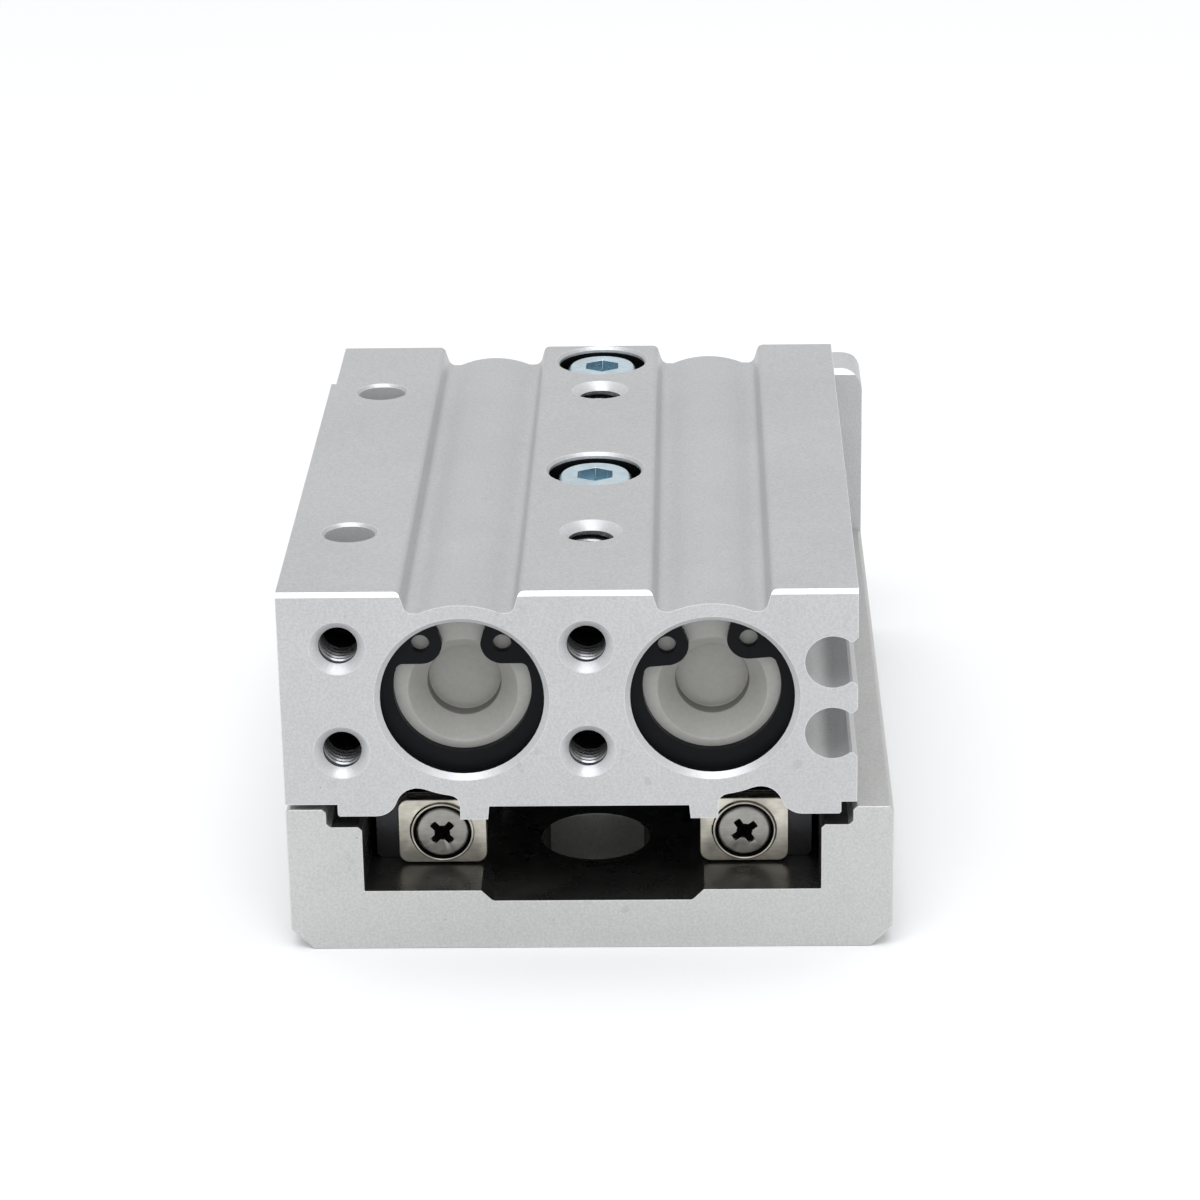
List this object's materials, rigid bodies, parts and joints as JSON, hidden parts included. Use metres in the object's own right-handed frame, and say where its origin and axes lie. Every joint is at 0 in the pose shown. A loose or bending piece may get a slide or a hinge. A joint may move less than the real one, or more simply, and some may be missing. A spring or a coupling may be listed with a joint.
{
  "type": "pneumatic slide table",
  "caption": "Twin-rod air slide table: an aluminium cylinder body over a guided U-shaped table that a rear end plate drives on crossed rollers.",
  "frame": {"origin": "centre of the rest-pose bounding box's bottom: on the table's load face, half way across the table and half way between the body's rear face and the end plate's front face", "axes": "+Z from the table's load face up to the cylinder body's mounting face; +Y from the rear face along the travel to the end plate; +X across the table, towards the side with the switch slots"},
  "size_m": [0.066, 0.0936, 0.042],
  "materials": {
    "body_aluminium": "clear anodised, fine matt blast",
    "head_cap": "matt resin",
    "o_ring": "matt rubber",
    "snap_ring": "black phosphated spring steel",
    "rod_cover": "turned",
    "seal": "matt rubber",
    "guide_steel": "ground, hardened steel",
    "zinc_screw": "blue-white zinc plated steel",
    "table_aluminium": "clear anodised, fine matt blast",
    "black_screw": "black oxide steel",
    "stopper_plate": "rolled stainless steel",
    "stopper_screw": "stainless steel",
    "end_plate_aluminium": "clear anodised, fine matt blast",
    "piston": "turned",
    "magnet": "bonded magnet",
    "bumper": "urethane",
    "piston_rod": "hard chrome, polished",
    "rod_end_bush": "turned steel",
    "rod_end_nut": "zinc plated steel",
    "roller_cage": "stamped sheet",
    "roller": "ground bearing steel"
  },
  "bodies": {
    "cylinder": {"cylinder_body": "body_aluminium", "left_head_cap": "head_cap", "right_head_cap": "head_cap", "head_cap_o_rings": "o_ring", "left_rear_snap_ring": "snap_ring", "right_rear_snap_ring": "snap_ring", "left_rod_cover": "rod_cover", "right_rod_cover": "rod_cover", "rod_cover_o_rings": "o_ring", "rod_seals": "seal", "front_snap_rings": "snap_ring", "guide_block": "guide_steel", "guide_block_screws": "zinc_screw"},
    "table": {"table": "table_aluminium", "left_guide_rail": "guide_steel", "right_guide_rail": "guide_steel", "guide_rail_screws": "black_screw", "left_rear_stopper_plate": "stopper_plate", "right_rear_stopper_plate": "stopper_plate", "rear_stopper_screws": "stopper_screw", "front_stopper_plates": "stopper_plate", "front_stopper_screws": "stopper_screw", "end_plate": "end_plate_aluminium", "end_plate_upper_screws": "black_screw", "end_plate_lower_screws": "black_screw", "left_piston": "piston", "right_piston": "piston", "piston_seals": "seal", "piston_magnets": "magnet", "piston_bumpers": "bumper", "left_piston_rod": "piston_rod", "right_piston_rod": "piston_rod", "rod_end_bushes": "rod_end_bush", "rod_end_nuts": "rod_end_nut"},
    "left_cage": {"left_roller_cage": "roller_cage", "left_rollers": "roller"},
    "right_cage": {"right_roller_cage": "roller_cage", "right_rollers": "roller"}
  },
  "joints": [
    {"name": "table_slide", "type": "slide", "parent": "cylinder", "child": "table", "axis": [0, 1, 0], "range_m": [0, 0.03]},
    {"name": "left_cage_slide", "type": "slide", "parent": "cylinder", "child": "left_cage", "axis": [0, 1, 0], "range_m": [0, 0.015]},
    {"name": "right_cage_slide", "type": "slide", "parent": "cylinder", "child": "right_cage", "axis": [0, 1, 0], "range_m": [0, 0.015]}
  ],
  "couplings": [
    {"joint": "left_cage_slide", "follows": "table_slide", "ratio": 0.5},
    {"joint": "right_cage_slide", "follows": "table_slide", "ratio": 0.5}
  ]
}
